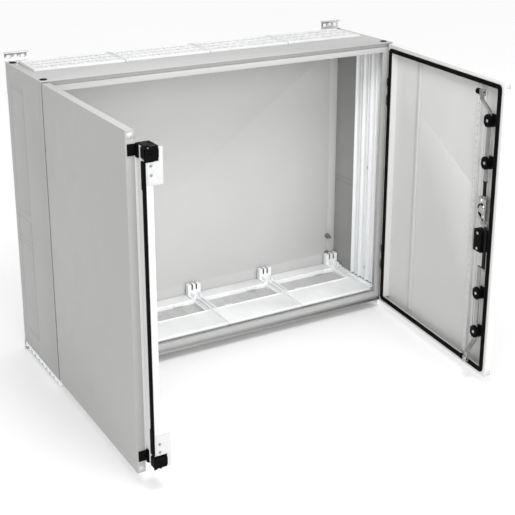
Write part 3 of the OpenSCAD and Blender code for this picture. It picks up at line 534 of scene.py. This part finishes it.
def ring(centre, inner, outer, low, high, around=20):
    """A flat ring with rounded shoulders: a closed profile of radius and height turned round z."""
    middle = (inner + outer) / 2
    profile = [(inner, low), (outer, low), (outer, (low + high) / 2), (middle + 0.3, high), (middle - 0.3, high),
               (inner, (low + high) / 2)]
    a = np.linspace(0, 2 * np.pi, around, endpoint=False)
    rings = [[(r * math.cos(t) + centre[0], r * math.sin(t) + centre[1], z) for r, z in profile] for t in a]
    return stack(rings, closed=True)


def folded_lips():
    """The second fold of each door pan on its hinge side: a strip behind the rear flange's inner edge."""
    for body, place, finish in (("left_door", left_place, coat_body_painted_shade), ("right_door", right_place, coat_door_painted_light)):
        points, faces = plate([(-17.4, -5.8), (-16.0, -5.8), (-16.0, 11.2), (-17.4, 11.2)], [], -378, 378)
        new_piece(body + "_folded_lip", place(points), faces, body, finish, bevel=0.3)


def tray_fillers():
    """White strips that close the gap between the outer trays and the side sheets, with a row of stops."""
    parts = []
    for side in (-1, 1):
        low, high = sorted((side * 500.6, side * 523.0))
        parts.append(block((low, -244, -397), (high, -10, TRAY_TOP - 1.2)))
        for k in range(14):
            front = -236 + k * 16
            parts.append(block((low + 6, front, TRAY_TOP - 2), (high - 4, front + 3, TRAY_TOP + 1)))
    points, faces = joined(parts)
    new_piece("tray_fillers", body_place(points), faces, "root", plastic_white, bevel=0.4)


def latch_covers():
    """The black shells over both ends of the stile: a chamfered block on its front face and a stepped cover
    on its free side, with a raised frame round a slot. Each outline lists y and the distance from the end."""
    front = [(13.3, 3), (17.6, 0), (17.6, 29), (13.3, 25)]
    shell = [(14.5, 2), (44.0, 4), (44.0, 17), (38.0, 28), (17.0, 30), (14.5, 25)]
    slot = [(19.0, 9), (34.0, 9), (30.0, 17), (20.5, 17)]
    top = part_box("top_latch_housing")[1].z / MM - 0.3
    parts = []
    for up in (1, -1):
        flat, cover, gap = [[(y, up * (top - down)) for y, down in shape] for shape in (front, shell, slot)]
        parts.append(plate(flat, [], STILE_OUTER, STILE_OUTER + 19.5, "yzx"))
        parts.append(plate(cover, [gap], STILE_OUTER - 0.9, STILE_OUTER + 0.3, "yzx"))
        for k in range(3):
            low, high = sorted((up * (top - (5 + 6 * k)), up * (top - (6.4 + 6 * k))))
            parts.append(block((STILE_OUTER - 1.4, 38.5, low), (STILE_OUTER - 0.6, 43.5, high)))
    points, faces = joined(parts)
    new_piece("latch_covers", left_place(points), faces, "left_door", plastic_black, bevel=0.3)


def lock_details():
    """Cams, rivets and ribs on the lock case: stepped discs turned round the spindle's line and a second
    pin above it, a curved fork between them and four rivets. Each profile lists radius and height."""
    x, z, top = SPINDLE_X, SPINDLE_Z, CASE_FACE
    main = [(0, 0), (10.5, 0), (10.5, 1.6), (9.6, 2.2), (7.0, 2.2), (7.0, 1.2), (4.8, 1.2), (4.8, 3.0), (4.2, 3.4),
            (0, 3.4)]
    upper = [(0, 0), (6.2, 0), (6.2, 2.4), (5.4, 3.0), (0, 3.0)]
    lower = [(0, 0), (5.0, 0), (5.0, 1.8), (4.2, 2.4), (0, 2.4)]
    rivet = [(0, 0), (2.0, 0), (1.7, 1.0), (0.8, 1.4), (0, 1.4)]
    turned = [(main, 28, 0, 0), (upper, 20, 6, 20), (lower, 20, -7, -19)]
    turned += [(rivet, 12, dx, dz) for dx in (-12, 12) for dz in (-25, 25)]
    bright = [lathe([(r, top + h) for r, h in profile], around, (x + dx, 0, z + dz), "y")
              for profile, around, dx, dz in turned]
    t = np.linspace(-0.4, 1.6, 9)
    outer = [(x + 15.5 * math.sin(a), z + 15.5 * math.cos(a)) for a in t]
    inner = [(x + 11.8 * math.sin(a), z + 11.8 * math.cos(a)) for a in t[::-1]]
    link = [(x + dx, z + dz) for dx, dz in ((-13, -27), (-7, -29), (12, -13), (9, -8))]
    dark = [plate(outer + inner, [], top, top + 1.8, "xzy"), plate(link, [], top, top + 1.5, "xzy")]
    for name, parts, finish, slot in (("lock_cams", bright, cast, "die_cast_zinc"),
                                      ("lock_forks", dark, plastic_black, "black_plastic")):
        points, faces = joined(parts)
        new_piece(name, right_place(points), faces, "right_door", finish, bevel=0.25)


def edge_caps():
    """Folded corner tabs at the top and bottom of the doors' free edges, wider at one end."""
    for body, place, free in (("left_door", left_place, LEFT_FREE_EDGE), ("right_door", right_place, RIGHT_FREE_EDGE)):
        parts = []
        for up in (1, -1):
            low, high = sorted((up * 392.0, up * 380.0))
            parts.append(plate([(-4.5, low), (10.0, low), (8.0, high), (-3.0, high)], [], free - 0.35, free + 0.2,
                               "yzx"))
        points, faces = joined(parts)
        new_piece(body + "_corner_tabs", place(points), faces, body, coat_inside_painted_shade)


def knock_outs():
    """Raised rims round the knock-outs of the upper cable flanges, and a grey nib in each one."""
    rims, nibs = [], []
    for field in FIELD_X:
        for i in range(9):
            for j in range(3):
                x, y = field + (i - 4) * KNOCK_X, FLANGE_Y + (j - 1) * KNOCK_Y
                r = (17 if (i + j) % 2 == 0 else 22) / 2
                nib = [(0.0, CUP_FLOOR), (r * 0.6, CUP_FLOOR), (r * 0.5, 403.4), (0.0, 404.0)]
                rims.append(ring((x, y), r, r + 1.2, FLANGE_TOP, 405.2))
                nibs.append(lathe(nib, 12, (x, y, 0)))
                nibs.append(ring((x, y), r - 1.6, r - 0.3, CUP_FLOOR, 402.4))
    for name, parts, finish in (("knock_out_rims", rims, plastic_flange), ("knock_out_nibs", nibs, plastic_insert)):
        points, faces = joined(parts)
        new_piece(name, body_place(points), faces, "root", finish)


def tray_ribs():
    """Low ribs on the cable trays: rails either side of each opening and a lip in front of and behind it."""
    base = TRAY_TOP - 1
    parts = []
    for x in FIELD_X:
        for side in (-1, 1):
            for off, half, front, back, rise in ((112, 1.2, -152, -16, 4), (118, 0.8, -150, -20, 8)):
                middle = x + side * off
                parts.append(block((middle - half, front, base), (middle + half, back, TRAY_TOP + rise)))
        for front, rise in ((-150.5, 2.5), (-62.5, 3)):
            parts.append(block((x - 110, front, base), (x + 110, front + 2, TRAY_TOP + rise)))
    points, faces = joined(parts)
    new_piece("tray_ribs", body_place(points), faces, "root", plastic_white, bevel=0.35)


def clip_slots():
    """Dark plates that fill the two slots of every retaining clip, each with a rounded head."""
    half, head, foot = 2.2, TRAY_TOP + 34, TRAY_TOP + 20.2
    parts = []
    for clip in CLIP_X:
        for side in (-1, 1):
            x = clip + side * 7
            shape = [(x + half * math.cos(a), head + half * math.sin(a)) for a in np.linspace(0, math.pi, 7)]
            parts.append(plate(shape + [(x - half, foot), (x + half, foot)], [], -31.5, -20.0, "xzy"))
    points, faces = joined(parts)
    new_piece("clip_slots", body_place(points), faces, "root", plastic_black)


def insert_lines():
    """Raised knock-out outlines on the grey inserts that fill the openings of the trays."""
    parts = []
    for x in FIELD_X:
        for k in range(4):
            middle = (x - 76 + k * 51, -103.5)
            parts.append(plate(outline(22, 30, 4, 5, middle), [outline(20.8, 28.8, 3, 5, middle)],
                               INSERT_TOP, INSERT_TOP + 1.2))
            parts.append(plate(outline(10, 10, 9.9, 7, middle), [outline(9, 9, 8.9, 7, middle)],
                               INSERT_TOP, INSERT_TOP + 1.0))
    points, faces = joined(parts)
    new_piece("insert_lines", body_place(points), faces, "root", plastic_insert)


def roller_hubs():
    """White axle ends in the rollers, with a dished middle."""
    along = Vector((-math.cos(RIGHT_OPEN), -math.sin(RIGHT_OPEN), 0))
    turn = along.to_track_quat("Z", "X").to_matrix()
    profile = [(0.0, -0.6), (2.6, -0.6), (2.6, 0.3), (2.2, 0.7), (1.2, 0.7), (0.9, 0.3), (0.0, 0.3)]
    points, faces = lathe(profile, 16)
    for roller in ("upper_roller", "lower_roller"):
        low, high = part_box(roller)
        axis = (low + high) / 2
        placed = [turn @ Vector(p) * MM + axis + along * (ROLLER_HALF * MM) for p in points.tolist()]
        new_piece(roller + "_hub", placed, faces, frame["nodes"][roller]["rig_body"], plastic_white)


folded_lips()
tray_fillers()
latch_covers()
lock_details()
edge_caps()
knock_outs()
tray_ribs()
clip_slots()
insert_lines()
roller_hubs()


# ---------------------------------------------------------------- floor, light and camera

def soft_light(name, place, aim, size, power):
    """A rectangular light that points from its place to its aim and isn't seen itself."""
    lamp = bpy.data.lights.new(name, "AREA")
    lamp.shape = "RECTANGLE"
    lamp.size, lamp.size_y = size
    lamp.energy = power
    holder = bpy.data.objects.new(name, lamp)
    bpy.context.scene.collection.objects.link(holder)
    holder.location = place
    holder.visible_camera = False
    holder.rotation_mode = "QUATERNION"
    holder.rotation_quaternion = (Vector(aim) - Vector(place)).to_track_quat("-Z", "Y")


def studio():
    """A wide pale floor under the cabinet, an even white surround and three soft lights."""
    floor_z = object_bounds()[0].z - MM
    mesh = bpy.data.meshes.new("studio_floor")
    reach = 14.0
    mesh.from_pydata([(-reach, -reach, floor_z), (reach, -reach, floor_z), (reach, reach, floor_z),
                      (-reach, reach, floor_z)], [], [(0, 1, 2, 3)])
    floor = bpy.data.objects.new("studio_floor", mesh)
    bpy.context.scene.collection.objects.link(floor)
    made, w, shader = material("studio floor", Roughness=0.9, Specular_IOR_Level=0.1)
    connect(w, shader, Base_Color=w.noise(0.7, 1.0).blend(shade(0.93), shade(0.96)))
    mesh.materials.append(made)
    floor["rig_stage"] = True
    world = bpy.data.worlds.new("studio")
    world.use_nodes = True
    sky = world.node_tree.nodes["Background"]
    sky.inputs["Color"].default_value = (1, 1, 1, 1)
    sky.inputs["Strength"].default_value = 1.0
    bpy.context.scene.world = world
    soft_light("overhead", (0.2, -1.2, 3.0), (0, -0.4, 0), (3.0, 3.0), 6)
    soft_light("front", (-0.7, -5.2, 1.3), (0.1, -0.2, 0), (3.6, 2.8), 112)
    soft_light("between_doors", (-0.25, -1.0, 1.35), (0.35, -0.35, -0.1), (0.6, 0.6), 11)


def camera():
    """The viewing angle: from the front left and above, looking down."""
    yaw, pitch = math.radians(30.06), math.radians(17.76)
    look = Vector((math.sin(yaw) * math.cos(pitch), math.cos(yaw) * math.cos(pitch), -math.sin(pitch)))
    data = bpy.data.cameras.new("camera")
    data.lens = 75.39
    data.sensor_width = 36.0
    data.shift_y = -0.15
    data.clip_end = 60.0
    holder = bpy.data.objects.new("camera", data)
    bpy.context.scene.collection.objects.link(holder)
    holder.location = (-1.3460, -2.7416, 0.9661)
    holder.rotation_mode = "QUATERNION"
    holder.rotation_quaternion = look.to_track_quat("-Z", "Y")
    bpy.context.scene.camera = holder


studio()
camera()
bpy.context.scene.view_settings.view_transform = "Standard"
